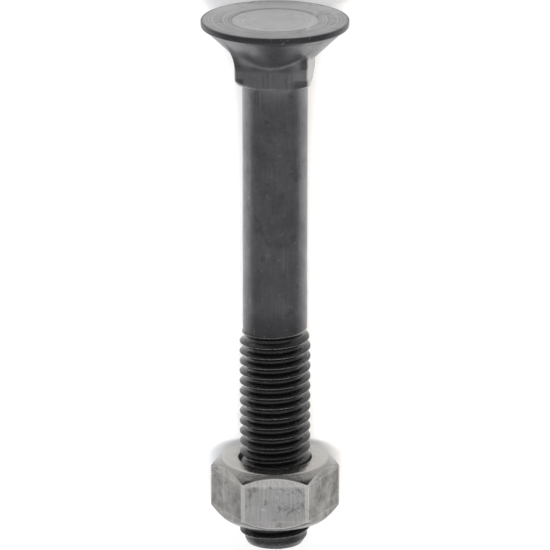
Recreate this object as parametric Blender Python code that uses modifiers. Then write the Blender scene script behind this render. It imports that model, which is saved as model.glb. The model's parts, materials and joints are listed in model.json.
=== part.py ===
# Plow bolt with its hexagon nut, lying as it comes to rest.
#
# Both pieces are modelled about one axis, local Z: the head's flat top is at height 0 and the
# tip points down. An empty on that axis then lays them on their side, head towards +Y, with
# the head's rim and one flat of the nut on the ground.

from math import atan2, ceil, cos, pi, radians, sin, sqrt, tan

import bmesh
import bpy
from mathutils import Matrix

# Driving dimensions, in metres and degrees

# From the head's flat top to the tip
BOLT_LENGTH = 0.0900

# Head: a flat disc over a countersunk cone
HEAD_DIAMETER = 0.0242
HEAD_LAND = 0.00058  # straight edge of the disc, before its corners are rounded
CONE_ANGLE = 92.0  # included angle
RIM_TOP_ROUND = 0.00015
RIM_LOWER_ROUND = 0.00030

# Shallow round recess in the head's top
RECESS_DIAMETER = 0.0144
RECESS_STEP = 0.00015  # how deep the steep edge goes down, and how far in
RECESS_SLOPE = 0.0016  # how far the gentle slope below the edge runs in
RECESS_FALL = 0.00015  # how deep that slope goes down

# Square neck that keeps the bolt from turning in a square hole
NECK_WIDTH = 0.0119
NECK_END = 0.0103  # from the head's top to the neck's foot
NECK_EDGE_ROUND = 0.0005
NECK_TURN = 6.6  # how far the square is turned about the axis
NECK_ROOT_ROUND = 0.0030  # fillet between the cone and the neck
FOOT_DIAMETER = 0.0131  # of the cone that cuts the corners of the neck's foot
FOOT_CUT_HEIGHT = 0.00145

# Collar that leads from the neck's foot to the shank
COLLAR_DIAMETER = 0.0115
COLLAR_HEIGHT = 0.0008
COLLAR_INTO_SHANK = 0.0002  # how far its narrow end sinks into the shank

# Shank and thread
SHANK_DIAMETER = 0.01065
THREAD_DIAMETER = 0.01175
THREAD_PITCH = 0.00175
THREAD_DEPTH = 0.00096
THREAD_FROM_HEAD = 0.05225  # from the head's top to where the thread starts
THREAD_RUN_OUT = 0.0030  # length over which it grows to its full depth
TIP_DIAMETER = 0.0094
TIP_CHAMFER = 0.0020

# Nut
NUT_ACROSS_FLATS = 0.0187
NUT_HEIGHT = 0.0100
NUT_FACE_DIAMETER = 0.0175  # flat ring that the chamfer leaves
NUT_CHAMFER_ANGLE = 38.0  # from the nut's face
NUT_COUNTERSINK = 0.0127
TIP_BEYOND_NUT = 0.0047
THREAD_CLEARANCE = 0.00020  # between the thread's crests and the nut's bore

# Shape of one turn of the thread: flat root, flank, flat crest, flank
ROOT_SHARE = 0.17
CREST_SHARE = 0.15

# Fineness of the round forms
HEAD_STEPS = 64
THREAD_STEPS = 40
NUT_STEPS = 48
ROUND_STEPS = 4
MERGE_DISTANCE = 0.00001
SMOOTH_BELOW = 25.0  # degrees between faces that are shaded as one surface

# Places worked out from the driving dimensions

HEAD_RADIUS = HEAD_DIAMETER / 2
COLLAR_RADIUS = COLLAR_DIAMETER / 2
SHANK_RADIUS = SHANK_DIAMETER / 2
THREAD_RADIUS = THREAD_DIAMETER / 2
CONE_LEAN = radians(CONE_ANGLE / 2)
CORNER_REACH = NECK_WIDTH / sqrt(2)
OVERLAP = 0.0010  # how far joined pieces and cutters run into or past each other

# Level where the rim's lower round leaves the land, and where the cone would reach the collar
LAND_FOOT = RIM_LOWER_ROUND * tan(CONE_LEAN / 2) - HEAD_LAND
CONE_FOOT = -HEAD_LAND - (HEAD_RADIUS - COLLAR_RADIUS) / tan(CONE_LEAN)
NECK_TOP = -HEAD_LAND - (HEAD_RADIUS - CORNER_REACH - OVERLAP) / tan(CONE_LEAN)
COLLAR_FOOT = -NECK_END - COLLAR_HEIGHT

NUT_FOOT = TIP_BEYOND_NUT - BOLT_LENGTH
NUT_TOP = NUT_FOOT + NUT_HEIGHT
NUT_SLOPE = tan(radians(NUT_CHAMFER_ANGLE))

# How the bolt lies: on the rim of its head and on the outer end of one flat of the nut
FLAT_FOOT = NUT_FOOT + (NUT_ACROSS_FLATS - NUT_FACE_DIAMETER) / 2 * NUT_SLOPE
REST_TILT = atan2(HEAD_RADIUS - NUT_ACROSS_FLATS / 2, LAND_FOOT - FLAT_FOOT)
AXIS_HEIGHT = HEAD_RADIUS * cos(REST_TILT) - LAND_FOOT * sin(REST_TILT)
HEAD_REACH = HEAD_RADIUS * sin(REST_TILT)
TIP_REACH = BOLT_LENGTH * cos(REST_TILT) + TIP_DIAMETER / 2 * sin(REST_TILT)


def clear_scene():
    for obj in list(bpy.data.objects):
        bpy.data.objects.remove(obj, do_unlink=True)


def new_collection(name):
    collection = bpy.data.collections.new(name)
    bpy.context.scene.collection.children.link(collection)
    return collection


def make_material(name, color, roughness, metallic):
    material = bpy.data.materials.new(name)
    material.use_nodes = True
    shader = material.node_tree.nodes["Principled BSDF"]
    shader.inputs["Base Color"].default_value = (*color, 1.0)
    shader.inputs["Roughness"].default_value = roughness
    shader.inputs["Metallic"].default_value = metallic
    return material


def move_to(obj, collection):
    for other in list(obj.users_collection):
        other.objects.unlink(obj)
    collection.objects.link(obj)


def as_helper(obj):
    obj.hide_render = True
    obj.display_type = "WIRE"
    return obj


def arc(center, radius, start, end):
    """Points (r, z) of a rounded corner in a profile. Angle 0 points away from the axis."""
    angles = [start + (end - start) * step / ROUND_STEPS for step in range(ROUND_STEPS + 1)]
    return [(center[0] + radius * cos(a), center[1] + radius * sin(a)) for a in angles]


def add_profile(name, points, collection):
    """An object that holds an open chain of edges through the points (r, z)."""
    mesh = bpy.data.meshes.new(name)
    bm = bmesh.new()
    verts = [bm.verts.new((r, 0.0, z)) for r, z in points]
    for upper, lower in zip(verts, verts[1:]):
        bm.edges.new((upper, lower))
    bm.to_mesh(mesh)
    bm.free()
    obj = bpy.data.objects.new(name, mesh)
    collection.objects.link(obj)
    return obj


def turn_profile(obj, steps, rise=0.0):
    """Turns the object's profile about Z, climbing by rise in the one turn."""
    screw = obj.modifiers.new("Turn", "SCREW")
    screw.steps = steps
    screw.render_steps = steps
    screw.screw_offset = rise
    screw.use_merge_vertices = rise == 0.0
    screw.merge_threshold = MERGE_DISTANCE
    return obj


def add_boolean(obj, name, operation, other):
    boolean = obj.modifiers.new(name, "BOOLEAN")
    boolean.operation = operation
    boolean.solver = "EXACT"
    boolean.object = other


def apply_modifiers(obj):
    graph = bpy.context.evaluated_depsgraph_get()
    mesh = bpy.data.meshes.new_from_object(obj.evaluated_get(graph))
    obj.modifiers.clear()
    obj.data = mesh


def head_profile():
    """Recess, flat top, rounded rim, cone, fillet at the neck and collar, from axis to axis."""
    recess_radius = RECESS_DIAMETER / 2
    slope_radius = recess_radius - RECESS_STEP
    floor_radius = slope_radius - RECESS_SLOPE
    floor = -RECESS_STEP - RECESS_FALL
    rim_top = (HEAD_RADIUS - RIM_TOP_ROUND, -RIM_TOP_ROUND)
    rim_lower = (HEAD_RADIUS - RIM_LOWER_ROUND, LAND_FOOT)
    root_drop = NECK_ROOT_ROUND * tan(CONE_LEAN / 2)
    root = (COLLAR_RADIUS + NECK_ROOT_ROUND, CONE_FOOT - root_drop)
    points = [(0.0, floor), (floor_radius, floor), (slope_radius, -RECESS_STEP), (recess_radius, 0.0)]
    points += arc(rim_top, RIM_TOP_ROUND, pi / 2, 0.0)
    points += arc(rim_lower, RIM_LOWER_ROUND, 0.0, -CONE_LEAN)
    points += arc(root, NECK_ROOT_ROUND, pi - CONE_LEAN, pi)
    points.append((COLLAR_RADIUS, -NECK_END))
    points.append((SHANK_RADIUS - COLLAR_INTO_SHANK, COLLAR_FOOT))
    points.append((0.0, COLLAR_FOOT))
    return points


def foot_profile():
    """A cone that keeps the neck's flats and cuts the corners of its foot."""
    slope = (CORNER_REACH - FOOT_DIAMETER / 2) / FOOT_CUT_HEIGHT
    outer = CORNER_REACH + OVERLAP
    inner = FOOT_DIAMETER / 2 - slope * OVERLAP
    outer_level = (outer - FOOT_DIAMETER / 2) / slope - NECK_END
    inner_level = -NECK_END - OVERLAP
    top = NECK_TOP + OVERLAP
    return [(0.0, top), (outer, top), (outer, outer_level), (inner, inner_level), (0.0, inner_level)]


def make_neck(helpers):
    """The square neck: upright edges rounded, and the corners of its foot cut by a cone."""
    bpy.ops.mesh.primitive_cube_add(size=1.0)
    neck = bpy.context.object
    neck.name = "square_neck"
    move_to(neck, helpers)
    height = NECK_TOP + NECK_END
    size = Matrix.Diagonal((NECK_WIDTH, NECK_WIDTH, height, 1.0))
    place = Matrix.Translation((0.0, 0.0, NECK_TOP - height / 2))
    neck.data.transform(place @ Matrix.Rotation(-radians(NECK_TURN), 4, "Z") @ size)
    bm = bmesh.new()
    bm.from_mesh(neck.data)
    upright = [edge for edge in bm.edges if is_upright(edge)]
    bmesh.ops.bevel(
        bm, geom=upright, offset=NECK_EDGE_ROUND, segments=ROUND_STEPS, profile=0.5, affect="EDGES"
    )
    bm.to_mesh(neck.data)
    bm.free()
    foot = turn_profile(add_profile("neck_foot_cone", foot_profile(), helpers), HEAD_STEPS)
    add_boolean(neck, "Cut the foot's corners", "INTERSECT", as_helper(foot))
    return as_helper(neck)


def is_upright(edge):
    across = (edge.verts[0].co - edge.verts[1].co).xy
    return across.length < MERGE_DISTANCE


def thread_profile():
    """The thread's outline at full depth, repeated over the whole shank and past both ends.

    A crest passes +X at the level where the thread starts.
    """
    root_radius = THREAD_RADIUS - THREAD_DEPTH
    flank_share = (1.0 - ROOT_SHARE - CREST_SHARE) / 2
    shares = [0.0, ROOT_SHARE, ROOT_SHARE + flank_share, 1.0 - flank_share]
    radii = [root_radius, root_radius, THREAD_RADIUS, THREAD_RADIUS]
    start = (1.0 - flank_share - CREST_SHARE / 2) * THREAD_PITCH - THREAD_FROM_HEAD
    turns_above = ceil(THREAD_FROM_HEAD / THREAD_PITCH)
    turns_below = ceil((BOLT_LENGTH - THREAD_FROM_HEAD) / THREAD_PITCH) + 2
    points = []
    for turn in range(-turns_above, turns_below):
        top = start - turn * THREAD_PITCH
        points += [(r, top - share * THREAD_PITCH) for r, share in zip(radii, shares)]
    points.append((root_radius, start - turns_below * THREAD_PITCH))
    return points


def thread_growth(level):
    """0 on the plain shank, 1 at full depth, with a soft start and end in the run-out."""
    share = (-THREAD_FROM_HEAD - level) / THREAD_RUN_OUT
    share = min(max(share, 0.0), 1.0)
    return share * share * (3.0 - 2.0 * share)


def tip_limit(level):
    """Largest radius that the tip's chamfer leaves at this level."""
    slope = (THREAD_DIAMETER - TIP_DIAMETER) / 2 / TIP_CHAMFER
    return TIP_DIAMETER / 2 + (level + BOLT_LENGTH) * slope


def cut_flat(bm, level, facing):
    """Cuts the open tube square at a level and closes it there."""
    geometry = bm.verts[:] + bm.edges[:] + bm.faces[:]
    cut = bmesh.ops.bisect_plane(
        bm, geom=geometry, plane_co=(0.0, 0.0, level), plane_no=(0.0, 0.0, facing), clear_outer=True
    )
    rim = [item for item in cut["geom_cut"] if isinstance(item, bmesh.types.BMEdge)]
    bmesh.ops.edgeloop_fill(bm, edges=rim)


def make_shank(helpers):
    """Shank and thread: one outline swept along a helix, faded into the shank at the run-out."""
    shank = turn_profile(add_profile("shank", thread_profile(), helpers), THREAD_STEPS, THREAD_PITCH)
    apply_modifiers(shank)
    bm = bmesh.new()
    bm.from_mesh(shank.data)
    bmesh.ops.remove_doubles(bm, verts=bm.verts, dist=MERGE_DISTANCE)
    for vert in bm.verts:
        full = vert.co.xy.length
        radius = SHANK_RADIUS + (full - SHANK_RADIUS) * thread_growth(vert.co.z)
        radius = min(radius, tip_limit(vert.co.z))
        vert.co.xy *= radius / full
    # Above the thread the outline's own edges carry no shape
    idle = [edge for edge in bm.edges if not is_upright(edge) and on_plain_shank(edge)]
    bmesh.ops.dissolve_edges(bm, edges=idle, use_verts=True)
    cut_flat(bm, (NECK_TOP - NECK_END) / 2, 1.0)
    cut_flat(bm, -BOLT_LENGTH, -1.0)
    bmesh.ops.recalc_face_normals(bm, faces=bm.faces)
    bm.to_mesh(shank.data)
    bm.free()
    return as_helper(shank)


def on_plain_shank(edge):
    plain_foot = THREAD_PITCH - THREAD_FROM_HEAD
    return all(plain_foot < vert.co.z for vert in edge.verts) and not edge.is_boundary


def make_bolt(parts, helpers, finish):
    bolt = turn_profile(add_profile("plow_bolt", head_profile(), parts), HEAD_STEPS)
    add_boolean(bolt, "Join the neck", "UNION", make_neck(helpers))
    add_boolean(bolt, "Join the shank", "UNION", make_shank(helpers))
    apply_modifiers(bolt)
    bolt.data.shade_smooth()
    bolt.data.set_sharp_from_angle(angle=radians(SMOOTH_BELOW))
    bolt.data.materials.clear()
    bolt.data.materials.append(finish)
    return bolt


def chamfer_profile():
    """Two cones, base to base, that keep the nut's flats and cut its corners at both faces."""
    outer = NUT_ACROSS_FLATS / sqrt(3) + OVERLAP
    inner = NUT_FACE_DIAMETER / 2 - OVERLAP / NUT_SLOPE
    drop = (outer - NUT_FACE_DIAMETER / 2) * NUT_SLOPE
    return [
        (0.0, NUT_TOP + OVERLAP),
        (inner, NUT_TOP + OVERLAP),
        (outer, NUT_TOP - drop),
        (outer, NUT_FOOT + drop),
        (inner, NUT_FOOT - OVERLAP),
        (0.0, NUT_FOOT - OVERLAP),
    ]


def bore_profile():
    """The bore, clear of the thread's crests, with a countersink at both faces."""
    bore = THREAD_RADIUS + THREAD_CLEARANCE
    mouth = NUT_COUNTERSINK / 2
    return [
        (0.0, NUT_TOP + OVERLAP),
        (mouth + OVERLAP, NUT_TOP + OVERLAP),
        (bore, NUT_TOP + bore - mouth),
        (bore, NUT_FOOT + mouth - bore),
        (mouth + OVERLAP, NUT_FOOT - OVERLAP),
        (0.0, NUT_FOOT - OVERLAP),
    ]


def make_nut(parts, helpers, finish):
    """A hexagonal bar, turned so that one flat faces down, chamfered and bored."""
    bpy.ops.mesh.primitive_cylinder_add(vertices=6, radius=NUT_ACROSS_FLATS / sqrt(3), depth=NUT_HEIGHT)
    nut = bpy.context.object
    nut.name = "hex_nut"
    move_to(nut, parts)
    middle = (NUT_TOP + NUT_FOOT) / 2
    nut.data.transform(Matrix.Translation((0.0, 0.0, middle)) @ Matrix.Rotation(pi / 6, 4, "Z"))
    chamfer = turn_profile(add_profile("nut_chamfer", chamfer_profile(), helpers), NUT_STEPS)
    bore = turn_profile(add_profile("nut_bore", bore_profile(), helpers), NUT_STEPS)
    add_boolean(nut, "Chamfer both faces", "INTERSECT", as_helper(chamfer))
    add_boolean(nut, "Bore", "DIFFERENCE", as_helper(bore))
    apply_modifiers(nut)
    nut.data.shade_smooth()
    nut.data.set_sharp_from_angle(angle=radians(SMOOTH_BELOW))
    nut.data.materials.clear()
    nut.data.materials.append(finish)
    return nut


def lay_down(pieces):
    """Parents the pieces to an empty on their axis and lays that axis towards +Y."""
    axis = bpy.data.objects.new("bolt_axis", None)
    bpy.context.scene.collection.objects.link(axis)
    axis.location = (0.0, (TIP_REACH - HEAD_REACH) / 2, AXIS_HEIGHT)
    axis.rotation_euler = (REST_TILT - pi / 2, 0.0, 0.0)
    for piece in pieces:
        piece.parent = axis


def main():
    clear_scene()
    parts = new_collection("Plow bolt")
    helpers = new_collection("Cutters and joined forms")
    black_steel = make_material("black_steel", (0.055, 0.055, 0.060), 0.45, 0.85)
    bare_steel = make_material("bare_steel", (0.38, 0.37, 0.35), 0.40, 1.0)
    bolt = make_bolt(parts, helpers, black_steel)
    nut = make_nut(parts, helpers, bare_steel)
    lay_down([bolt, nut])


main()
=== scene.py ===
# %% [markdown]
# # A plow bolt with its nut
#
# A plow bolt holds a steel blade on its carrier. Its head is a flat disc over a cone, so that it
# lies flush in the blade, and a square neck under the cone keeps it from turning while the nut is
# tightened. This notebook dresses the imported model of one: a black forged bolt with a rolled
# thread, and a bare grey hexagon nut near its tip.

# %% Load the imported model
import json
from math import atan2, cos, pi, radians, sin, sqrt, tan

import bmesh
import bpy
from mathutils import Matrix, Vector


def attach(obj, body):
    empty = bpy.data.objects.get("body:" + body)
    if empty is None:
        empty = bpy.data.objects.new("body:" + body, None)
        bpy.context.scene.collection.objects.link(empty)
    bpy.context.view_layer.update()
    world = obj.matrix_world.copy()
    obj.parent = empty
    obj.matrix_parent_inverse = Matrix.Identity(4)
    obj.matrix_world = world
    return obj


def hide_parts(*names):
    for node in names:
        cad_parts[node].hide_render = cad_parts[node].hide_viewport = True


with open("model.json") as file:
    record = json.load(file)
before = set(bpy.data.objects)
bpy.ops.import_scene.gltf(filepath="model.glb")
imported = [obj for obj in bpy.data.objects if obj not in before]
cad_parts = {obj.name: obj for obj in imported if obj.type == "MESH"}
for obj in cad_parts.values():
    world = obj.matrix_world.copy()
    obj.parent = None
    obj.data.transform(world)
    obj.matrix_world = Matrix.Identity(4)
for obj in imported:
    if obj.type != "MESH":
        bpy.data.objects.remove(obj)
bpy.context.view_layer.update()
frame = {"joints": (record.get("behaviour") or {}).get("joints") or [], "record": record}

mounts = {mount["name"]: mount for mount in frame["record"]["mounts"]}

# %% [markdown]
# ## Where the bolt lies
#
# Loose bolts lie on the rim of the head and on one flat of the nut, so the axis climbs a little
# towards the head. Each piece below is modelled upright, with the head's flat top at height 0 and
# the tip pointing down, because turned forms are easiest to draw that way. One matrix then lays a
# finished piece down. It comes from the record: the two side flats of the neck have the axis
# midway between them, and the head's top face says how high the bolt reaches along it.

# %% Axis of the bolt
axis = Vector(frame["joints"][0]["axis"]).normalized()
side_flats = [Vector(mounts[name]["pos_m"]) for name in ("neck_flat_left", "neck_flat_right")]
neck_middle = (side_flats[0] + side_flats[1]) / 2
head_top = Vector(mounts["head_top"]["pos_m"])
head_centre = neck_middle + axis * (head_top - neck_middle).dot(axis)
upward = Vector((1.0, 0.0, 0.0)).cross(axis)
lay_down = Matrix.Translation(head_centre) @ Matrix(
    ((1.0, 0.0, 0.0), (0.0, -upward.y, axis.y), (0.0, -upward.z, axis.z))
).to_4x4()
print("Head centre:", [round(value, 5) for value in head_centre])
print("Axis:", [round(value, 5) for value in axis])

# %% [markdown]
# ## Camera
#
# The photograph was taken with a long lens from well above the middle of the bolt, on the head's
# side. The place and the lens come from the bolt's own sizes in the picture.

# %% Camera
FOCUS_BELOW_HEAD = 0.04354  # the point on the axis that the camera aims at
CAMERA_DISTANCE = 0.8586
CAMERA_RISE = radians(17.89)  # above the plane across the axis, towards the head
LENS_IN_PIXELS = 5212.0
IMAGE_SIZE = 550
SENSOR_WIDTH = 36.0

focus = head_centre - axis * FOCUS_BELOW_HEAD
camera_data = bpy.data.cameras.new("camera")
camera_data.sensor_width = SENSOR_WIDTH
camera_data.lens = LENS_IN_PIXELS * SENSOR_WIDTH / IMAGE_SIZE
camera = bpy.data.objects.new("camera", camera_data)
bpy.context.scene.collection.objects.link(camera)
towards_camera = upward * cos(CAMERA_RISE) + axis * sin(CAMERA_RISE)
camera.location = focus + towards_camera * CAMERA_DISTANCE
camera.rotation_euler = (-atan2(towards_camera.y, towards_camera.z), 0.0, 0.0)
bpy.context.scene.camera = camera
print("Camera:", [round(value, 4) for value in camera.location])

# %% [markdown]
# ## Working by hand, in code
#
# Every piece below is made with the tools of Blender's own menus. An edit-mode tool acts on all
# that is selected, so a step first clears the selection and then picks what it needs. These
# helpers open a mesh with nothing selected, close it, apply what is on an object's modifier
# stack, and say what a piece has come to.

# %% Helpers for edit mode
def pick(*pieces):
    if bpy.context.mode != "OBJECT":
        bpy.ops.object.mode_set(mode="OBJECT")
    bpy.ops.object.select_all(action="DESELECT")
    for piece in pieces:
        piece.select_set(True)
    bpy.context.view_layer.objects.active = pieces[0]


def open_mesh(piece, kind="VERT"):
    pick(piece)
    bpy.ops.object.mode_set(mode="EDIT")
    bpy.ops.mesh.select_mode(type=kind)
    bpy.ops.mesh.select_all(action="DESELECT")


def close_mesh():
    bpy.ops.object.mode_set(mode="OBJECT")


def apply_all(piece):
    pick(piece)
    for modifier in list(piece.modifiers):
        bpy.ops.object.modifier_apply(modifier=modifier.name)


def tell(piece):
    bpy.context.view_layer.update()
    spans = [round(side * 1000, 2) for side in piece.dimensions]
    shell = bmesh.new()
    shell.from_mesh(piece.data)
    loose = sum(not edge.is_manifold for edge in shell.edges)
    triangles = sum(len(face.verts) - 2 for face in shell.faces)
    shell.free()
    print(f"{piece.name}: {triangles} triangles, {loose} open edges, {spans} mm")


# %% [markdown]
# ## The rolled thread
#
# A rolled thread is one ridge wound round the shank. By hand one draws a single tooth, from
# groove to groove, and lets the Screw modifier turn it while it climbs by one pitch a turn: the
# end of one turn meets the start of the next, so all the turns become one surface. Rolling
# rounds the crest and the groove, so both are arcs here, joined by straight flanks.

# %% Outline of one tooth
PITCH = 0.00175
FLANK_LEAN = radians(30)  # from a plane across the axis to a flank
ARC_STEPS = 3


def tooth_outline(root_radius, crest_radius, root_round, crest_round, crest_flat):
    """Points (r, z) of one tooth, down from the top of a groove's floor to the next floor."""
    depth = crest_radius - root_radius
    half_floor = (PITCH - crest_flat) / 2 - (depth + root_round + crest_round) * tan(FLANK_LEAN)
    turns = [(pi / 2 - FLANK_LEAN) * step / ARC_STEPS for step in range(ARC_STEPS + 1)]
    groove = [
        (root_radius + root_round * (1 - cos(a)), half_floor + root_round * sin(a)) for a in turns
    ]
    half_way = (PITCH - crest_flat) / 2
    crest = [
        (crest_radius - crest_round * (1 - cos(a)), half_way - crest_round * sin(a))
        for a in reversed(turns)
    ]
    half_tooth = groove + crest
    other_half = [(r, PITCH - z) for r, z in reversed(half_tooth)]
    return [(root_radius, half_floor)] + [(r, -z) for r, z in half_tooth + other_half]


def draw_outline(name, points):
    """An open outline in the XZ plane, extruded from point to point out of one vertex."""
    bpy.ops.object.select_all(action="DESELECT")
    bpy.ops.mesh.primitive_plane_add(size=PITCH)
    outline = bpy.context.object
    outline.name = name
    bpy.ops.object.mode_set(mode="EDIT")
    bpy.ops.mesh.select_mode(type="VERT")
    bpy.ops.mesh.select_all(action="SELECT")
    bpy.ops.mesh.merge(type="CENTER")
    bpy.ops.transform.translate(value=(points[0][0], 0.0, points[0][1]))
    for (r, z), (next_r, next_z) in zip(points, points[1:]):
        step = (next_r - r, 0.0, next_z - z)
        bpy.ops.mesh.extrude_region_move(TRANSFORM_OT_translate={"value": step})
    close_mesh()
    return outline


# %% Wind a tooth round the axis
MERGE = 1e-7


def wind(tooth, turns, steps):
    """Winds the outline of one tooth upwards into a right-hand thread."""
    screw = tooth.modifiers.new("wind", "SCREW")
    screw.steps = screw.render_steps = steps
    screw.iterations = turns
    screw.screw_offset = PITCH
    apply_all(tooth)
    open_mesh(tooth)
    bpy.ops.mesh.select_all(action="SELECT")
    bpy.ops.mesh.remove_doubles(threshold=MERGE)
    close_mesh()


def cut_across(piece, level, keep_below, close):
    """Cuts a piece across the axis at a level and, if asked, closes it there."""
    open_mesh(piece)
    bpy.ops.mesh.select_all(action="SELECT")
    bpy.ops.mesh.bisect(
        plane_co=(0.0, 0.0, level),
        plane_no=(0.0, 0.0, 1.0),
        clear_outer=keep_below,
        clear_inner=not keep_below,
        use_fill=close,
        threshold=MERGE,
    )
    close_mesh()


# %% The bolt's thread
BOLT_LENGTH = 0.0900
THREAD_RADIUS = 0.005875
ROOT_RADIUS = 0.004915
ROOT_ROUND = 0.00025
CREST_ROUND = 0.00013
CREST_FLAT = 0.00006
THREAD_FROM_HEAD = 0.05225
THREAD_STEPS = 128
SPARE_TURNS = 2  # past each end, cut off again


def wound_thread(name, root_radius, crest_radius, first_crest, turns):
    """A thread in phase with the bolt's: a crest passes +X at THREAD_FROM_HEAD below the head."""
    tooth = tooth_outline(root_radius, crest_radius, ROOT_ROUND, CREST_ROUND, CREST_FLAT)
    piece = draw_outline(name, [(r, z + PITCH / 2 - first_crest) for r, z in tooth])
    wind(piece, turns, THREAD_STEPS)
    return piece


turns_down = int((BOLT_LENGTH - THREAD_FROM_HEAD) / PITCH) + SPARE_TURNS
lowest_crest = THREAD_FROM_HEAD + turns_down * PITCH
bolt = wound_thread("bolt", ROOT_RADIUS, THREAD_RADIUS, lowest_crest, turns_down + SPARE_TURNS)
tell(bolt)

# %% [markdown]
# The rollers leave the shank gently: over the last turn or two the ridge fades into the plain
# shank, which is thinner than the thread, because the ridge was pressed up from it. The tip was
# chamfered before rolling. Both are limits on how far a point may lie from the axis, so every
# point is moved in or out to its limit.

# %% Fade the thread out and taper the tip
SHANK_RADIUS = 0.005325
RUN_OUT = 0.0030
GROOVE_RUN_OUT = 0.0012  # the rollers sink in sooner than the crest is full
TIP_RADIUS = 0.0047
TIP_CHAMFER = 0.0020
CLEAR_OF_THREAD = 0.0005


def smooth_step(share):
    share = min(max(share, 0.0), 1.0)
    return share * share * (3.0 - 2.0 * share)


for vert in bolt.data.vertices:
    full = vert.co.xy.length
    below_start = -THREAD_FROM_HEAD - vert.co.z
    grown = smooth_step(below_start / RUN_OUT)
    if full < SHANK_RADIUS:
        grown = smooth_step(below_start / GROOVE_RUN_OUT)
    taper = TIP_RADIUS + (vert.co.z + BOLT_LENGTH) * (THREAD_RADIUS - TIP_RADIUS) / TIP_CHAMFER
    vert.co.xy *= min(SHANK_RADIUS + (full - SHANK_RADIUS) * grown, taper) / full
thread_top = CLEAR_OF_THREAD - THREAD_FROM_HEAD
cut_across(bolt, thread_top, keep_below=True, close=False)
cut_across(bolt, -BOLT_LENGTH, keep_below=False, close=True)
tell(bolt)

# %% [markdown]
# ## Head, neck and shank
#
# The head is forged in one blow: a shallow round recess, a flat ring, a trimmed rim that stands
# out a little, and a cone of a little over 90 degrees. A turned form like this grows well from
# one circle: its rim is extruded again and again, and each new ring is moved and scaled to the
# next radius and level.

# %% Stack of rings
def stack_rings(name, rings, steps):
    """A turned form through the rings (r, z). The first disc is extruded too, so both ends close."""
    bpy.ops.object.select_all(action="DESELECT")
    radius, level = rings[0]
    bpy.ops.mesh.primitive_circle_add(
        vertices=steps, radius=radius, location=(0.0, 0.0, level), fill_type="NGON"
    )
    piece = bpy.context.object
    piece.name = name
    bpy.ops.object.transform_apply()
    bpy.ops.object.mode_set(mode="EDIT")
    bpy.ops.mesh.select_mode(type="EDGE")
    bpy.ops.mesh.select_all(action="DESELECT")
    bpy.ops.mesh.select_non_manifold()
    for next_radius, next_level in rings[1:]:
        rise = (0.0, 0.0, next_level - level)
        grow = next_radius / radius
        bpy.ops.mesh.extrude_region_move(TRANSFORM_OT_translate={"value": rise})
        bpy.ops.transform.resize(value=(grow, grow, 1.0), center_override=(0.0, 0.0, 0.0))
        radius, level = next_radius, next_level
    bpy.ops.mesh.select_all(action="SELECT")
    bpy.ops.mesh.normals_make_consistent(inside=False)
    close_mesh()
    return piece


def arc(centre, radius, start, end, steps=4):
    turns = [start + (end - start) * step / steps for step in range(steps + 1)]
    return [(centre[0] + radius * cos(a), centre[1] + radius * sin(a)) for a in turns]


# %% Rings of the head
HEAD_RADIUS = 0.0121
HEAD_LAND = 0.00058  # down to where the cone would meet the rim
CONE_LEAN = radians(46)  # from the axis
RIM_ROUND = 0.00012
RIM_HEIGHT = 0.00100
RIM_LEAN = radians(62)
RIM_LOWER_ROUND = 0.00045
RIM_MEETS_CONE = 0.00150
RECESS_RADIUS = 0.0072
RECESS_STEP = 0.00015
RECESS_SLOPE = 0.0016
RECESS_FALL = 0.00015
RECESS_ROUND = 0.00005
SLOPE_ROUND = 0.0030
RING_GAP_ON_TOP = 0.0008


def cone_reach(level):
    return HEAD_RADIUS + (level + HEAD_LAND) * tan(CONE_LEAN)


slope_lean = atan2(RECESS_FALL, RECESS_SLOPE)
slope_top = RECESS_RADIUS - RECESS_STEP
half_run = SLOPE_ROUND * tan(slope_lean / 2)
floor_turn = (slope_top - RECESS_SLOPE - half_run, SLOPE_ROUND - RECESS_STEP - RECESS_FALL)
head_rings = arc(floor_turn, SLOPE_ROUND, -pi / 2, slope_lean - pi / 2)
head_rings += [(slope_top - RECESS_ROUND, -RECESS_STEP), (slope_top, RECESS_ROUND - RECESS_STEP)]
head_rings += [(RECESS_RADIUS, -RECESS_ROUND), (RECESS_RADIUS + RECESS_ROUND, 0.0)]
land_start = head_rings[-1][0]
land_run = HEAD_RADIUS - RIM_ROUND - land_start
land_count = int(land_run / RING_GAP_ON_TOP)
head_rings += [(land_start + land_run * step / land_count, 0.0) for step in range(1, land_count)]
head_rings += arc((HEAD_RADIUS - RIM_ROUND, -RIM_ROUND), RIM_ROUND, pi / 2, 0.0)
rim_turn = (HEAD_RADIUS - RIM_LOWER_ROUND, RIM_LOWER_ROUND * tan(RIM_LEAN / 2) - RIM_HEIGHT)
head_rings += arc(rim_turn, RIM_LOWER_ROUND, 0.0, -RIM_LEAN)
head_rings.append((cone_reach(-RIM_MEETS_CONE), -RIM_MEETS_CONE))
print(len(head_rings), "rings from the recess to the cone")

# %% [markdown]
# The neck under the cone is square, so that it can't turn in a square hole. On a forged bolt it
# grows out of the cone: the flats run into it in an arc, and the corners flare out softly. That
# blend is hard to get from a cut between two solids. It is easier to give the tube between cone
# and shank many rings, and then to push each point out to the larger of two reaches, the cone's
# and the square's, with a soft change from one to the other that is wider at the corners.

# %% Shape of the neck
NECK_HALF = 0.00595
NECK_FOOT = 0.0103
NECK_TURN = radians(6.6)
NECK_EDGE_ROUND = 0.0005
FOOT_RADIUS = 0.00655  # where the cut corners of the foot end
# The corners in turn, anticlockwise from the one that is 38 degrees past +X
FOOT_CUTS = (0.0017, 0.0015, 0.00145, 0.0008)  # height of the cut at each corner
FOOT_ROUND = 0.00025
ROOT_OF_NECK = 0.0030  # radius of the turned fillet under the cone
FLAT_BLEND = 0.00030
CORNER_BLENDS = (0.0019, 0.0020, 0.0034, 0.0012)
FOOT_BLEND = 0.0004
COLLAR_RADIUS = 0.00575
COLLAR_HEIGHT = 0.0008

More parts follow.
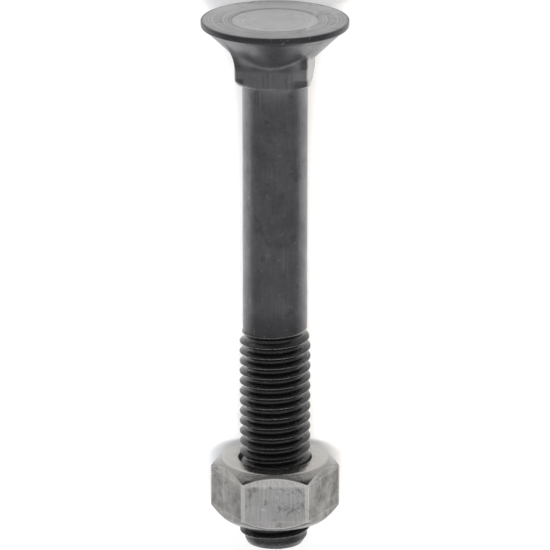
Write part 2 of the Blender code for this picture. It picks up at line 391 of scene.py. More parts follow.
corner_reach = NECK_HALF * sqrt(2)
foot_level = FOOT_ROUND - NECK_FOOT
cone_foot = -HEAD_LAND - (HEAD_RADIUS - COLLAR_RADIUS) / tan(CONE_LEAN)
fillet_foot = cone_foot - ROOT_OF_NECK * tan(CONE_LEAN / 2)
fillet_top = fillet_foot + ROOT_OF_NECK * sin(CONE_LEAN)


def soft_max(first, second, width):
    share = max(width - abs(first - second), 0.0) / width
    return max(first, second) + share * share * width / 4


def flats_reach(sides, half, edge_round, turn):
    """From the axis to a bar with flats and rounded edges, at an angle from the middle of a flat."""
    if half * tan(turn) < (half - edge_round) * tan(pi / sides):
        return half / cos(turn)
    centre = (half - edge_round) / cos(pi / sides)
    along = centre * cos(pi / sides - turn)
    return along + sqrt(along * along - centre * centre + edge_round * edge_round)


def turned_reach(level):
    """From the axis to the cone and the fillet under it."""
    if level > fillet_top:
        return cone_reach(level)
    above = max(level - fillet_foot, 0.0)
    return COLLAR_RADIUS + ROOT_OF_NECK - sqrt(ROOT_OF_NECK * ROOT_OF_NECK - above * above)


def neck_reach(angle, level):
    """From the axis to the surface between the rim and the neck's foot."""
    turned = angle + NECK_TURN
    turn = abs((turned + pi / 4) % (pi / 2) - pi / 4)
    corner = int(turned % (2 * pi) / (pi / 2))
    foot = FOOT_RADIUS + (level + NECK_FOOT) * (corner_reach - FOOT_RADIUS) / FOOT_CUTS[corner]
    square = -soft_max(-flats_reach(4, NECK_HALF, NECK_EDGE_ROUND, turn), -foot, FOOT_BLEND)
    cornered = (1 / cos(turn) - 1) / (sqrt(2) - 1)
    blend = FLAT_BLEND + (CORNER_BLENDS[corner] - FLAT_BLEND) * cornered
    flared = soft_max(cone_reach(level), square, blend)
    return soft_max(turned_reach(level), flared, FLAT_BLEND)


# %% Head, neck and shank in one piece
HEAD_STEPS = 256
NECK_RING_GAP = 0.00018
PLAIN_RING_GAP = 0.0030
NECK_START_RADIUS = 0.0080  # the neck's rings start as circles this large
FOOT_RINGS = 3

cone_end = head_rings[-1][1]
neck_count = int((cone_end - foot_level) / NECK_RING_GAP)
neck_levels = [
    cone_end + (foot_level - cone_end) * step / neck_count for step in range(1, neck_count + 1)
]
neck_levels += [level for _, level in arc((0.0, foot_level), FOOT_ROUND, 0.0, -pi / 2)[1:]]
neck_rings = [(NECK_START_RADIUS, level) for level in neck_levels]
foot_run = NECK_START_RADIUS - COLLAR_RADIUS
foot_rings = [
    (NECK_START_RADIUS - foot_run * step / FOOT_RINGS, -NECK_FOOT)
    for step in range(1, FOOT_RINGS + 1)
]
shank_start = -NECK_FOOT - COLLAR_HEIGHT
shank_end = thread_top + CLEAR_OF_THREAD
shank_count = int((shank_start - shank_end) / PLAIN_RING_GAP)
shank_rings = [
    (SHANK_RADIUS, shank_start + (shank_end - shank_start) * step / shank_count)
    for step in range(shank_count + 1)
]
head = stack_rings("head", head_rings + neck_rings + foot_rings + shank_rings, HEAD_STEPS)

for vert in head.data.vertices:
    start = vert.co.xy.length
    if -NECK_FOOT - MERGE < vert.co.z < cone_end - MERGE:
        below = min(max(foot_level - vert.co.z, 0.0), FOOT_ROUND)
        edge = neck_reach(atan2(vert.co.y, vert.co.x), vert.co.z)
        edge -= FOOT_ROUND - sqrt(FOOT_ROUND * FOOT_ROUND - below * below)
        share = (start - COLLAR_RADIUS) / foot_run
        vert.co.xy *= (COLLAR_RADIUS + (edge - COLLAR_RADIUS) * share) / start
tell(head)

# %% [markdown]
# The shank's lowest disc comes off, which leaves two open rims, the shank's and the thread's.
# Once both meshes are one object, Bridge Edge Loops joins the rims into one closed skin.

# %% Join the thread to the shank
open_mesh(head, "FACE")
close_mesh()
lowest = min(head.data.polygons, key=lambda face: face.center.z)
lowest.select = True
bpy.ops.object.mode_set(mode="EDIT")
bpy.ops.mesh.delete(type="FACE")
close_mesh()
pick(bolt, head)
bpy.ops.object.join()
open_mesh(bolt, "EDGE")
bpy.ops.mesh.select_non_manifold()
bpy.ops.mesh.bridge_edge_loops()
bpy.ops.mesh.select_all(action="SELECT")
bpy.ops.mesh.normals_make_consistent(inside=False)
close_mesh()
tell(bolt)

# %% [markdown]
# ## The nut
#
# A hexagon nut is a slice of hexagonal bar whose corners were turned off on both faces, which
# leaves an arc at each end of each flat. It is drawn like the neck: rings from face to face, and
# each point goes to the smaller of two reaches, the bar's and the turned cone's, with a soft
# change between them, as tumbling leaves it. The points crowd at the bar's edges, which are
# narrow.

# %% Body of the nut
NUT_HALF = 0.00935
NUT_TOP = -0.0753
NUT_FOOT = -0.0853
NUT_FACE_RADIUS = 0.00875
NUT_SLOPE = tan(radians(38))
NUT_EDGE_ROUND = 0.00045
NUT_CHAMFER_BLEND = 0.00030
NUT_FACE_ROUND = 0.00012
NUT_STEPS = 288
NUT_CROWDING = 0.75  # 0 spreads the points evenly, near 1 nearly all are at the bar's edges
NUT_RING_GAP = 0.00010
NUT_ENDS = 0.0020  # how far in from each face the rings lie that close
NUT_BLANK_RADIUS = 0.0100

nut_height = NUT_TOP - NUT_FOOT


def nut_reach(angle, depth):
    """From the axis to the nut's side, at a depth under its nearer face."""
    turn = abs((angle + pi / 2 + pi / 6) % (pi / 3) - pi / 6)
    bar = flats_reach(6, NUT_HALF, NUT_EDGE_ROUND, turn)
    turned = NUT_FACE_RADIUS + depth / NUT_SLOPE
    return -soft_max(-bar, -turned, NUT_CHAMFER_BLEND)


def crowded(angle):
    """An even angle, moved towards the nearest edge of the bar."""
    return angle + NUT_CROWDING * sin(6 * (angle + pi / 2)) / 6


end_depths = [NUT_RING_GAP * step for step in range(1, int(NUT_ENDS / NUT_RING_GAP) + 1)]
depths = [0.0] + end_depths
upper_rings = [(NUT_BLANK_RADIUS, NUT_TOP - depth) for depth in depths]
lower_rings = [(NUT_BLANK_RADIUS, NUT_FOOT + depth) for depth in reversed(depths)]
nut = stack_rings("nut", upper_rings + lower_rings, NUT_STEPS)
for vert in nut.data.vertices:
    angle = crowded(atan2(vert.co.y, vert.co.x))
    depth = min(NUT_TOP - vert.co.z, vert.co.z - NUT_FOOT)
    under = max(NUT_FACE_ROUND - depth, 0.0)
    edge = nut_reach(angle, depth) - NUT_FACE_ROUND
    edge += sqrt(max(NUT_FACE_ROUND * NUT_FACE_ROUND - under * under, 0.0))
    vert.co.xy = Vector((cos(angle), sin(angle))) * edge
tell(nut)


def combine(piece, operation, other):
    """Applies a Boolean of two closed pieces to the first and removes the second."""
    boolean = piece.modifiers.new(operation.lower(), "BOOLEAN")
    boolean.operation = operation
    boolean.solver = "EXACT"
    boolean.object = other
    apply_all(piece)
    bpy.data.objects.remove(other, do_unlink=True)
    tell(piece)


# %% [markdown]
# The nut's own thread is cut with the same tooth as the bolt's, a little larger, and starts at
# the same angle, so that the two mesh without touching. A cone at each face leads it in.

# %% Bore and thread of the nut
THREAD_GAP = 0.00012
NUT_CREST_RADIUS = 0.00508
NUT_MOUTH_RADIUS = 0.00612
PAST = 0.0010  # how far a cutter runs past what it cuts
TAP_SPARE_TURNS = 3  # past each face, cut off again

turns_to_crest = int((-NUT_FOOT - THREAD_FROM_HEAD) / PITCH + TAP_SPARE_TURNS)
tap_turns = int(nut_height / PITCH) + 2 * TAP_SPARE_TURNS
tap_crest = THREAD_FROM_HEAD + turns_to_crest * PITCH
tap = wound_thread("tap", NUT_CREST_RADIUS, THREAD_RADIUS + THREAD_GAP, tap_crest, tap_turns)
cut_across(tap, NUT_TOP + PAST, keep_below=True, close=True)
cut_across(tap, NUT_FOOT - PAST, keep_below=False, close=True)
combine(nut, "DIFFERENCE", tap)
wide = NUT_MOUTH_RADIUS + PAST
waist = ROOT_RADIUS
leads = stack_rings(
    "leads",
    [
        (wide, NUT_TOP + PAST),
        (waist, NUT_TOP + PAST - wide + waist),
        (waist, NUT_FOOT - PAST + wide - waist),
        (wide, NUT_FOOT - PAST),
    ],
    NUT_STEPS,
)
combine(nut, "DIFFERENCE", leads)

# %% [markdown]
# ## Laying the pieces down
#
# A finished piece keeps its object at the origin, unturned, with its place in its mesh: then
# the patterns of its material stay put when the piece moves with its body.

# %% Lay down, ride and replace
SMOOTH_BELOW = radians(32)


def put_down(piece, body, node):
    piece.data.transform(lay_down)
    piece.data.update()
    pick(piece)
    bpy.ops.object.shade_smooth_by_angle(angle=SMOOTH_BELOW)
    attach(piece, body)
    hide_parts(node)
    tell(piece)


put_down(bolt, "bolt", "plow_bolt")
put_down(nut, "nut", "hex_nut")

# %% [markdown]
# ## Nodes from code
#
# A material is a small graph. These helpers place one node each and return the output that the
# next node needs, so that a finish below reads from the pattern to the surface. A mask is a number
# from 0 to 1. A zone is the product of several soft edges, so it is 1 only where all are passed.

# %% Helpers for nodes
def put(tree, kind, inputs, **settings):
    """A node with its settings. An input is given by its name or place, as a value or an output."""
    made = tree.nodes.new(kind)
    for name, value in settings.items():
        setattr(made, name, value)
    for name, value in inputs.items():
        if isinstance(value, bpy.types.NodeSocket):
            tree.links.new(value, made.inputs[name])
        else:
            made.inputs[name].default_value = value
    return made


def calc(tree, operation, *values):
    return put(tree, "ShaderNodeMath", dict(enumerate(values)), operation=operation).outputs[0]


def times(tree, first, *others):
    for other in others:
        first = calc(tree, "MULTIPLY", first, other)
    return first


def fade(tree, value, start, end, low=0.0, high=1.0):
    """Runs softly from low to high while the value goes from start to end."""
    inputs = {"Value": value, "From Min": start, "From Max": end, "To Min": low, "To Max": high}
    return put(tree, "ShaderNodeMapRange", inputs, interpolation_type="SMOOTHSTEP").outputs[0]


def zone(tree, *edges):
    """The product of soft edges, each given as (value, start, end) or with (low, high) as well."""
    return times(tree, *[fade(tree, *edge) for edge in edges])


def stretched(tree, place, scale):
    return put(tree, "ShaderNodeVectorMath", {0: place, 1: scale}, operation="MULTIPLY").outputs[0]


def noise(tree, place, scale, detail, roughness):
    inputs = {"Vector": place, "Scale": scale, "Detail": detail, "Roughness": roughness}
    return put(tree, "ShaderNodeTexNoise", inputs).outputs[0]


# %% [markdown]
# A finish is built up as a painter would: a first colour, then coat over coat, each with the share
# that it covers. Its roughness and its relief are sums of the same patterns, so that a stain or a
# scratch shows in all three.

# %% Helpers for finishes
MM = 1000.0  # millimetres in a metre
BUMP_DEPTH = 0.00012


def tint(red, green, blue):
    return (red, green, blue, 1.0)


def grey(level, blue=0.0):
    return tint(level, level, level * (1.0 + blue))


def mix(tree, share, first, second):
    """The first colour where the share is 0, the second where it is 1."""
    inputs = {0: share, 6: first, 7: second}
    return put(tree, "ShaderNodeMix", inputs, data_type="RGBA").outputs[2]


def painted(tree, color, coats):
    for share, coat in coats:
        color = mix(tree, share, color, coat)
    return color


def summed(tree, total, parts):
    for pattern, strength in parts:
        total = calc(tree, "MULTIPLY_ADD", pattern, strength, total)
    return total


def new_finish(name):
    finish = bpy.data.materials.new(name)
    finish.use_nodes = True
    return finish, finish.node_tree, finish.node_tree.nodes["Principled BSDF"]


def dress(piece, finish, color, rough, height, bump_strength):
    """Links a finish's colour, roughness and relief to its shader and gives it to the piece."""
    tree = finish.node_tree
    shader = tree.nodes["Principled BSDF"]
    relief = {"Height": height, "Distance": BUMP_DEPTH, "Strength": bump_strength}
    normal = put(tree, "ShaderNodeBump", relief).outputs["Normal"]
    for socket, value in (("Base Color", color), ("Roughness", rough), ("Normal", normal)):
        tree.links.new(value, shader.inputs[socket])
    piece.data.materials.append(finish)
    print(f"{finish.name}: {len(tree.nodes)} nodes")


# %% [markdown]
# The patterns follow the bolt as it was made, not as it lies. A Mapping node undoes the matrix
# that laid the pieces down: it gives millimetres in the bolt's upright frame, where the level is
# 0 at the head's top and the distance from the axis tells shank from thread and rim from cone.

# %% Place on the bolt
def upright_place(tree):
    """The place in the upright frame, its three parts, and its distance from the axis."""
    inputs = {
        "Vector": put(tree, "ShaderNodeTexCoord", {}).outputs["Object"],
        "Location": lay_down.to_translation(),
        "Rotation": lay_down.to_euler(),
        "Scale": (1.0 / MM, 1.0 / MM, 1.0 / MM),
    }
    place = put(tree, "ShaderNodeMapping", inputs, vector_type="TEXTURE").outputs[0]
    parts = put(tree, "ShaderNodeSeparateXYZ", {"Vector": place}).outputs
    across = stretched(tree, place, (1.0, 1.0, 0.0))
    radius = put(tree, "ShaderNodeVectorMath", {0: across}, operation="LENGTH").outputs["Value"]
    return place, parts, radius


# %% [markdown]
# Both pieces are steel that has been handled, so they share some effects: soft blotches where oil
# and scale lie unevenly, a fine grain, and thin scratches. A node group holds each of these once,
# with a place as its input, and each finish uses them in its own strength. The scratches come
# from noise that is stretched almost to a line, of which only the highest ridges stay.

# %% Shared effects
STAINS_PER_BLOTCH = 2.3
STAINS_ELSEWHERE = (31.0, 17.0, 5.0)  # so that the stains don't follow the soft blotches
SCRATCH_WAYS = ((3.2, 2.4, 0.10), (2.0, 0.7, 1.9), (0.5, 2.6, 1.3))


def new_group(name, inputs, outputs):
    group = bpy.data.node_groups.new(name, "ShaderNodeTree")
    for socket_name, kind in inputs:
        group.interface.new_socket(socket_name, in_out="INPUT", socket_type=kind)
    for socket_name in outputs:
        group.interface.new_socket(socket_name, in_out="OUTPUT", socket_type="NodeSocketFloat")
    start = group.nodes.new("NodeGroupInput")
    end = group.nodes.new("NodeGroupOutput")
    return group, start.outputs, end.inputs


blotches, given, result = new_group(
    "blotches", [("Place", "NodeSocketVector"), ("Size", "NodeSocketFloat")], ["Soft", "Stains"]
)
density = calc(blotches, "DIVIDE", 1.0, given["Size"])
stain_density = calc(blotches, "MULTIPLY", density, STAINS_PER_BLOTCH)
elsewhere = put(blotches, "ShaderNodeVectorMath", {0: given["Place"], 1: STAINS_ELSEWHERE}).outputs[0]
soft = noise(blotches, given["Place"], density, 5.0, 0.6)
stains = noise(blotches, elsewhere, stain_density, 4.0, 0.65)
blotches.links.new(fade(blotches, soft, 0.3, 0.7), result["Soft"])
blotches.links.new(fade(blotches, stains, 0.54, 0.68), result["Stains"])

grain, given, result = new_group("grain", [("Place", "NodeSocketVector")], ["Fine", "Pits"])
pits = noise(grain, given["Place"], 2.6, 2.0, 0.5)
grain.links.new(noise(grain, given["Place"], 7.0, 3.0, 0.7), result["Fine"])
grain.links.new(fade(grain, pits, 0.62, 0.72), result["Pits"])

scratches, given, result = new_group("scratches", [("Place", "NodeSocketVector")], ["Lines"])
lines = 0.0
for way in SCRATCH_WAYS:
    ridge = noise(scratches, stretched(scratches, given["Place"], way), 1.0, 2.0, 0.6)
    lines = calc(scratches, "MAXIMUM", lines, fade(scratches, ridge, 0.66, 0.72))
scratches.links.new(lines, result["Lines"])
print("Shared effects:", [group.name for group in (blotches, grain, scratches)])


# %% Patterns of handled steel
def use(tree, group, **inputs):
    return put(tree, "ShaderNodeGroup", inputs, node_tree=group).outputs


def steel_patterns(tree, place, blotch_size, streak_density, streak_squeeze):
    """Blotches, grain, scratches, and streaks drawn out along the axis."""
    cloud = use(tree, blotches, Place=place, Size=blotch_size)
    skin = use(tree, grain, Place=place)
    marks = use(tree, scratches, Place=place)["Lines"]
    drawn_out = stretched(tree, place, (1.0, 1.0, streak_squeeze))
    streaks = noise(tree, drawn_out, streak_density, 4.0, 0.7)
    return cloud, skin, marks, streaks


# %% [markdown]
# ## Black forged steel
#
# After hardening, the bolt was blackened in oil. The skin is a thin dark layer on bright metal,
# so it stays metallic. One could paint its marks on the unwrapped mesh. Here each zone is a mask
# made from the level and the distance from the axis, because a lathe, a die and a thread roller
# leave their marks along just these. The head's top was pressed by a turned die, which left
# rings, and its trimmed rim stayed dark.

# %% Zones of the head
# Each soft edge says where it starts and where it ends, in millimetres. A level is 0 at the head's
# top and negative below it, and a reach is a distance from the axis.
TOP_LEVEL = (-0.42, -0.36)
TOP_REACH = (12.0, 11.9)
RECESS_REACH = (7.1, 6.8)
RIM_LEVEL = (-1.30, -1.00)
RIM_REACH = (11.5, 11.9)
CONE_START = (-1.1, -1.4)
CONE_END = (-7.0, -5.5)

black_steel, tree, shader = new_finish("black_steel")
place, parts, radius = upright_place(tree)
level = parts["Z"]
cloud, skin, marks, streaks = steel_patterns(tree, place, 4.5, 3.0, 0.07)
rings = noise(tree, put(tree, "ShaderNodeCombineXYZ", {"X": radius}).outputs[0], 2.2, 4.0, 0.75)

on_top = zone(tree, (level, *TOP_LEVEL), (radius, *TOP_REACH))
in_recess = times(tree, on_top, fade(tree, radius, *RECESS_REACH))
on_rim = zone(tree, (level, *RIM_LEVEL), (radius, *RIM_REACH))
on_cone = zone(tree, (level, *CONE_START), (level, *CONE_END))
facing_up = calc(tree, "DIVIDE", times(tree, parts["Y"], -1.0), radius)

# %% [markdown]
# The neck's flats carry upright streaks from the die's walls. Dark scale stays beside the
# corners, where the die rubs it off less, and it is widest at the foot. One flat is rubbed pale,
# and the corner beside it a little; above that corner the pale coat is painted light on the fillet
# under the cone, over its dark reflection. The neck is turned a few degrees about the axis, so its
# zones are measured in a place that is turned with it.

# %% Zones of the neck
NECK_START = (-6.9, -7.6)
NECK_END = (-10.6, -10.2)
RIGHT_FLAT_INSIDE = (5.65, 5.80)
RIGHT_FLAT_OUTSIDE = (6.4, 6.0)
RIGHT_FLAT_END = (-10.4, -10.0)
RIGHT_FLAT_REACH = (8.8, 8.3)
BESIDE_RIGHT_FLAT = (2.5, 4.5)
BESIDE_START = (-5.2, -6.0)
BESIDE_END = (-9.4, -8.8)
SCALE_START = (-4.2, -5.0)
SCALE_END = (-10.4, -10.2)
RUBBED_BELOW = (-6.9, -6.4)  # between this edge and the next the die has rubbed the scale off
RUBBED_ABOVE = (-8.3, -8.8)
SCALE_WIDTH = (-7.2, -8.6, 1.5, 1.9)  # from 1.5 mm wide to 1.9 mm at the foot
WIDER_TO_RIGHT = (0.0, 3.0, 0.0, 1.1)
WIDER_AT_FOOT = (-8.2, -8.8)
SCALE_CORE = 0.5  # share of the scale's width that is fully dark

turned_with_neck = {"Vector": place, "Angle": NECK_TURN}
neck_place = put(tree, "ShaderNodeVectorRotate", turned_with_neck, rotation_type="Z_AXIS")
sides = put(tree, "ShaderNodeSeparateXYZ", {"Vector": neck_place.outputs[0]}).outputs
to_right = sides["X"]
on_neck = zone(tree, (level, *NECK_START), (level, *NECK_END))
on_right_flat = zone(
    tree,
    (to_right, *RIGHT_FLAT_INSIDE),
    (to_right, *RIGHT_FLAT_OUTSIDE),
    (level, *RIGHT_FLAT_END),
    (radius, *RIGHT_FLAT_REACH),
)
# Rubbed pale beside the right flat, and painted light on the fillet above it
rubbed_and_painted_light_by_right_flat = zone(
    tree, (to_right, *BESIDE_RIGHT_FLAT), (level, *BESIDE_START), (level, *BESIDE_END)
)

from_corner = calc(tree, "SUBTRACT", *[calc(tree, "ABSOLUTE", sides[side]) for side in "XY"])
wider_by_foot = zone(tree, (to_right, *WIDER_TO_RIGHT), (level, *WIDER_AT_FOOT))
scale_width = calc(tree, "ADD", fade(tree, level, *SCALE_WIDTH), wider_by_foot)
core_width = times(tree, scale_width, SCALE_CORE)
in_corner = fade(tree, calc(tree, "ABSOLUTE", from_corner), scale_width, core_width)
not_rubbed = calc(
    tree, "MAXIMUM", fade(tree, level, *RUBBED_BELOW), fade(tree, level, *RUBBED_ABOVE)
)
scale_levels = zone(tree, (level, *SCALE_START), (level, *SCALE_END))
on_scale = times(tree, in_corner, not_rubbed, scale_levels)

# %% [markdown]
# The thread's grooves hold dark oil, and their floors are painted a little greyer as a painted
# highlight. A painted highlight also runs along the lower edge of each crest. A crest winds round
# the axis, so its line is found from the level and the angle together: the two cancel along the
# helix, and the fraction of a turn that is left says how far a point is from the nearest crest.

# %% Zones of the thread
THREAD_LEVEL = -THREAD_FROM_HEAD * MM
OILED_FROM = (THREAD_LEVEL - 0.1, THREAD_LEVEL - 0.9)
GROOVE_FLOOR_REACH = (5.12, 4.98)
HIGHLIGHT_FROM = (THREAD_LEVEL + 0.3, THREAD_LEVEL - 0.1)
HIGHLIGHT_REACH = (5.15, 5.30)
HALF_PITCH = 0.5  # this and the next two are in pitches
CREST_LINE_BELOW = 0.085  # from the middle of a crest to the painted highlight on its lower edge
CREST_LINE_WIDTH = (0.10, 0.05)

on_thread = fade(tree, level, *OILED_FROM)
# Painted highlight on the floors of the thread's grooves
groove_floor_highlight = times(tree, on_thread, fade(tree, radius, *GROOVE_FLOOR_REACH))
angle = calc(tree, "ARCTAN2", parts["Y"], parts["X"])
pitches_up = times(tree, calc(tree, "SUBTRACT", level, THREAD_LEVEL), 1.0 / (PITCH * MM))
off_helix = calc(tree, "SUBTRACT", pitches_up, calc(tree, "DIVIDE", angle, 2 * pi))
from_groove = calc(tree, "FRACT", calc(tree, "ADD", off_helix, HALF_PITCH))
from_crest = calc(tree, "SUBTRACT", from_groove, HALF_PITCH)
to_line = calc(tree, "ABSOLUTE", calc(tree, "ADD", from_crest, CREST_LINE_BELOW))
# Painted highlight along the lower edge of each crest
crest_highlight = zone(
    tree, (level, *HIGHLIGHT_FROM), (to_line, *CREST_LINE_WIDTH), (radius, *HIGHLIGHT_REACH)
)

# %% [markdown]
# Now the coats go on in turn. A coat is a share of the surface and a colour, and a later coat
# covers the earlier ones. Soft blotches vary the first colour, and fine grain breaks up the painted
# highlight lines on the crests, so that no zone is one flat colour.

# %% Black steel
SHANK_OIL = (-47.0, -52.4, 0.0, 0.6)  # the oil creeps up from the thread
# Painted light: the thread past the nut is lighter, against the nut's shade
PAINTED_LIGHT_PAST_NUT = (-84.8, -85.6, 0.0, 0.35)
TIP_END = (-88.4, -89.6, 0.0, 0.7)
# Painted light: the head's top is lighter on its low side, by the floor
PAINTED_LIGHT_LOW_SIDE = (0.0, 12.0, 0.0, 0.8)
# Painted shade: the head's top is darker on its high side
PAINTED_SHADE_HIGH_SIDE = (-5.0, -10.5, 0.0, 0.7)
BLACK_METALLIC = 0.95
BLACK_BUMP = 0.5

color = painted(
    tree,
    mix(tree, cloud["Soft"], grey(0.105, 0.06), grey(0.150, 0.04)),
    [
        (fade(tree, streaks, 0.35, 0.75, 0.0, 0.5), grey(0.09, 0.10)),  # streaks all over
        (times(tree, on_top, fade(tree, rings, 0.38, 0.62, 0.2, 0.9)), grey(0.34)),  # turned rings
        # Painted light on the head's top, on its low side by the floor
        (times(tree, on_top, fade(tree, parts["Y"], *PAINTED_LIGHT_LOW_SIDE)), grey(0.46)),
        # Painted shade on the head's top, on its high side
        (times(tree, on_top, fade(tree, parts["Y"], *PAINTED_SHADE_HIGH_SIDE)), grey(0.20)),
        (times(tree, cloud["Stains"], 0.45), grey(0.07, 0.05)),
        (times(tree, in_recess, 0.6), grey(0.42)),
        (times(tree, on_neck, fade(tree, streaks, 0.3, 0.6, 0.25, 0.8)), grey(0.21, 0.04)),
        # Rubbed pale beside the right flat, and painted light over the fillet's dark reflection
        (times(tree, rubbed_and_painted_light_by_right_flat, 0.45), grey(0.34)),
        (times(tree, on_right_flat, 0.6), tint(0.40, 0.39, 0.375)),
        (times(tree, on_cone, 0.12), grey(0.30)),
        (times(tree, on_scale, fade(tree, cloud["Soft"], 0.2, 0.7, 0.6, 0.9)), grey(0.06, 0.05)),
        (times(tree, on_rim, 0.8), grey(0.05, 0.08)),
        # Painted reflection of the dark shank: the cone is a little darker along the side that faces up
        (times(tree, on_cone, fade(tree, facing_up, 0.92, 1.0, 0.0, 0.2)), grey(0.035, 0.06)),
        (fade(tree, level, *SHANK_OIL), grey(0.04)),
        (times(tree, on_thread, 0.93), grey(0.028)),
        # Painted highlight: the groove floors are a little lighter
        (times(tree, groove_floor_highlight, 0.55), grey(0.085)),
        # Painted light on the thread past the nut, where the nut shades it
        (fade(tree, level, *PAINTED_LIGHT_PAST_NUT), grey(0.10)),
        # Painted highlight on the crests' lower edges, broken up by the grain
        (times(tree, crest_highlight, fade(tree, skin["Fine"], 0.36, 0.60, 0.1, 1.0)), grey(0.28)),
        (fade(tree, level, *TIP_END), grey(0.16)),
        (times(tree, marks, 0.35), grey(0.24)),
    ],
)
rough = summed(
    tree,
    fade(tree, cloud["Soft"], 0.0, 1.0, 0.36, 0.30),
    [(fade(tree, skin["Fine"], 0.3, 0.7, -0.03, 0.05), 1.0), (on_thread, -0.08)],
)
height = summed(
    tree,
    0.0,
    [
        (skin["Fine"], 0.10),
        (skin["Pits"], -0.12),
        (streaks, 0.12),
        (cloud["Soft"], 0.35),
        (times(tree, rings, on_top), 0.25),
        (marks, -0.06),
    ],
)
shader.inputs["Metallic"].default_value = BLACK_METALLIC
dress(bolt, black_steel, color, rough, height, BLACK_BUMP)

# %% [markdown]
# ## Bare grey steel
#
# The nut is bare: rolled bar, sawn and chamfered, then tumbled. Its sides keep fine lines along
# the axis and thin grey stains. The chamfers and faces were turned, so they are smooth enough to
# mirror the thread. The bar's edge is where the side lies furthest from the axis, and an arc is
# where side and chamfer meet, so level and distance find both. A belt line runs round the bar a
# little in from each end, the flat that faces up is paler and scuffed at its upper end, and dirt
# sits in the chamfer's corners.

# %% Zones of the nut
NUT_MIDDLE_LEVEL = (NUT_TOP + NUT_FOOT) * MM / 2
UPPER_FACE_LEVEL = NUT_TOP * MM
SIDE_ENDS = (0.20, 0.05)  # above the arc between side and chamfer
UPPER_FLAT = (-0.86, -0.875)  # share of the distance from the axis that points up
SCUFFED_LEVEL = (UPPER_FACE_LEVEL - 2.6, UPPER_FACE_LEVEL - 1.8)
BAR_ENDS = (2.8, 3.2)  # from the nut's middle, like the next
FACE_LEVEL = (4.84, 4.92)
FACE_REACH = (8.85, 8.70)
FACE_BEGINS = (6.1, 6.3)
BORE_REACH = (6.25, 6.05)
CHAMFER_REACH = (8.75, 9.0)
CHAMFER_CORNER_REACH = (9.8, 10.3)

bare_steel, tree, shader = new_finish("bare_steel")
place, parts, radius = upright_place(tree)
level = parts["Z"]
cloud, skin, marks, streaks = steel_patterns(tree, place, 3.2, 4.0, 0.05)

from_middle = calc(tree, "ABSOLUTE", calc(tree, "SUBTRACT", level, NUT_MIDDLE_LEVEL))
down_chamfer = times(tree, calc(tree, "SUBTRACT", radius, NUT_FACE_RADIUS * MM), NUT_SLOPE)
chamfer_level = calc(tree, "SUBTRACT", nut_height * MM / 2, down_chamfer)
to_chamfer = calc(tree, "SUBTRACT", chamfer_level, from_middle)
off_side = fade(tree, to_chamfer, *SIDE_ENDS)
upper_flat = fade(tree, calc(tree, "DIVIDE", parts["Y"], radius), *UPPER_FLAT)
scuffed_end = times(tree, fade(tree, level, *SCUFFED_LEVEL), upper_flat)
bar_ends = fade(tree, from_middle, *BAR_ENDS)
on_chamfer = times(tree, off_side, fade(tree, radius, *CHAMFER_REACH))
in_chamfer_corner = times(tree, on_chamfer, fade(tree, radius, *CHAMFER_CORNER_REACH))
# Painted shade in the bore and its lead-in cones
bore_painted_shade = fade(tree, radius, *BORE_REACH)
on_face = zone(tree, (from_middle, *FACE_LEVEL), (radius, *FACE_REACH))
turned = calc(tree, "MAXIMUM", on_face, off_side)
turned_face = times(tree, turned, fade(tree, radius, *FACE_BEGINS))

# %% Wear of the nut
BAR_EDGE_REACH = (10.50, 10.66, 0.0, 0.75)
ARC_OUTSIDE = (0.34, 0.16)
ARC_INSIDE = (0.02, 0.07, 0.0, 0.8)
LESS_ON_OTHER_FLATS = (0.0, 1.0, 0.35, 1.0)
BELT_FROM_MIDDLE = 3.15
BELT_WIDTH = (0.09, 0.02)
BELT_BREAKS = (0.45, 0.6, 0.0, 0.6)  # of the streaks, so that the belt isn't an even line

on_bar_edge = fade(tree, radius, *BAR_EDGE_REACH)
on_arc = zone(
    tree,
    (to_chamfer, *ARC_OUTSIDE),
    (to_chamfer, *ARC_INSIDE),
    (upper_flat, *LESS_ON_OTHER_FLATS),
)
from_belt = calc(tree, "ABSOLUTE", calc(tree, "SUBTRACT", from_middle, BELT_FROM_MIDDLE))
on_belt = zone(tree, (from_belt, *BELT_WIDTH), (streaks, *BELT_BREAKS))
worn = calc(tree, "MAXIMUM", calc(tree, "MAXIMUM", on_bar_edge, on_arc), on_belt)

# %% Bare steel
BARE_BUMP = 0.6

color = painted(
    tree,
    mix(tree, cloud["Soft"], tint(0.21, 0.205, 0.193), tint(0.38, 0.37, 0.355)),
    [
        (times(tree, upper_flat, 0.75), grey(0.54)),
        (times(tree, bar_ends, 0.22), tint(0.62, 0.61, 0.59)),
        (times(tree, scuffed_end, fade(tree, skin["Fine"], 0.40, 0.62, 0.2, 0.9)), tint(0.8, 0.8, 0.79)),
        (fade(tree, streaks, 0.35, 0.7, 0.0, 0.5), tint(0.27, 0.264, 0.253)),
        (times(tree, cloud["Stains"], 0.55), tint(0.15, 0.145, 0.135)),
        (times(tree, worn, fade(tree, skin["Fine"], 0.3, 0.6, 0.2, 0.8)), tint(0.85, 0.84, 0.81)),
        (times(tree, marks, 0.4), tint(0.75, 0.74, 0.72)),
        # Painted shade: the bore and its lead-in cones are dark
        (times(tree, bore_painted_shade, 0.8), grey(0.05)),
        (times(tree, turned_face, 0.9), tint(0.34, 0.333, 0.315)),
        (times(tree, on_chamfer, 0.9), tint(0.20, 0.197, 0.188)),
        (times(tree, in_chamfer_corner, fade(tree, cloud["Soft"], 0.3, 0.6, 0.3, 0.9)), grey(0.05)),
    ],
)
rough = summed(
    tree,
    fade(tree, cloud["Soft"], 0.0, 1.0, 0.62, 0.48),
    [
        (turned_face, -0.38),
        (fade(tree, skin["Fine"], 0.3, 0.7, -0.06, 0.06), 1.0),
        (worn, -0.12),
    ],
)
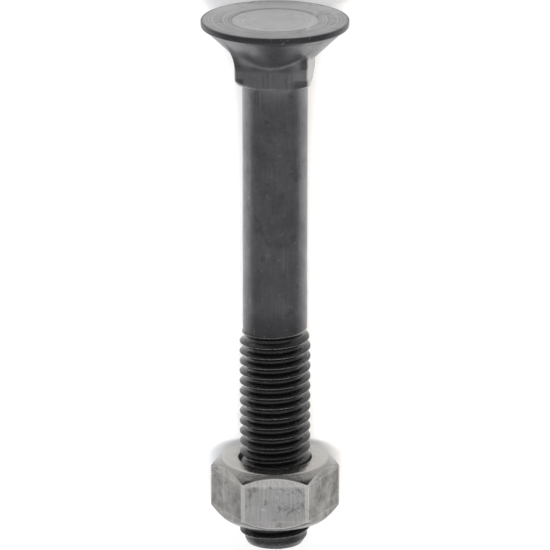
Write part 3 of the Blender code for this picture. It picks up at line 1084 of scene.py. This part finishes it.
height = summed(
    tree,
    0.0,
    [
        (skin["Fine"], 0.14),
        (skin["Pits"], -0.20),
        (streaks, 0.30),
        (cloud["Soft"], 0.6),
        (marks, -0.10),
    ],
)
tree.links.new(fade(tree, turned_face, 0.0, 1.0, 0.85, 0.98), shader.inputs["Metallic"])
dress(nut, bare_steel, color, rough, height, BARE_BUMP)

# %% [markdown]
# ## Studio
#
# The photograph was taken in a white tent: white all round, a little darker on the camera's side,
# cool light from the left and warm light from the right. A pale floor that is well lit stands for
# the tent's back wall, because the bolt lies on it, and its bright rims are the floor's
# reflection. Near the bolt the floor would be dimmer, as the bolt shades it, so two small lamps
# straight above it, one cool and one warm, make up for that.

# %% Floor
FLOOR_SIDE = 6.0
PAPER_WHITE = 0.92

bpy.ops.object.select_all(action="DESELECT")
bpy.ops.mesh.primitive_plane_add(size=FLOOR_SIDE)
floor = bpy.context.object
floor.name = "floor"
paper, tree, shader = new_finish("pale_paper")
shader.inputs["Base Color"].default_value = grey(PAPER_WHITE)
shader.inputs["Roughness"].default_value = 0.9
shader.inputs["Specular IOR Level"].default_value = 0.1
floor.data.materials.append(paper)
print("Floor:", FLOOR_SIDE, "m wide")

# %% Lights
WHITE = (1.0, 1.0, 1.0)
COOL = (0.9, 0.95, 1.0)
WARM = (1.0, 0.95, 0.9)
COOLER = (0.87, 0.92, 1.0)
WARMER = (1.0, 0.90, 0.78)
LIGHTS_AIM_AT = Vector((0.0, 0.0, 0.012))
OVERHEAD_SIDE = 0.03
OVERHEAD_SPREAD = radians(25)
WORLD_GREY = (0.45, 0.45, 0.46, 1.0)


def soft_light(name, place, size, watts, color, mirrored=False):
    data = bpy.data.lights.new(name, "AREA")
    data.shape = "RECTANGLE"
    data.size, data.size_y = size
    data.energy = watts
    data.color = color
    lamp = bpy.data.objects.new(name, data)
    lamp.visible_glossy = mirrored
    bpy.context.scene.collection.objects.link(lamp)
    lamp.location = place
    lamp.rotation_euler = (LIGHTS_AIM_AT - lamp.location).to_track_quat("-Z", "Y").to_euler()
    return lamp


soft_light("left_light", (-0.7, 0.0, 0.35), (0.5, 1.0), 0.8, COOL)
soft_light("right_light", (0.7, 0.0, 0.35), (0.5, 1.0), 0.8, WARM)
soft_light("head_light", (0.0, 0.8, 0.45), (1.0, 0.5), 5.0, WHITE)
soft_light("tip_light", (0.0, -0.8, 0.45), (1.6, 0.7), 2.2, WHITE, mirrored=True)
for name, side, color in (("overhead_left", -1, COOLER), ("overhead_right", 1, WARMER)):
    lamp = soft_light(name, (OVERHEAD_SIDE * side, 0.0, 0.40), (0.05, 0.16), 0.026, color)
    lamp.data.spread = OVERHEAD_SPREAD
    lamp.visible_camera = False

world = bpy.data.worlds.new("studio")
world.use_nodes = True
world.node_tree.nodes["Background"].inputs["Color"].default_value = WORLD_GREY
bpy.context.scene.world = world
bpy.context.scene.view_settings.view_transform = "Standard"
print("Lights:", [light.name for light in bpy.data.lights])
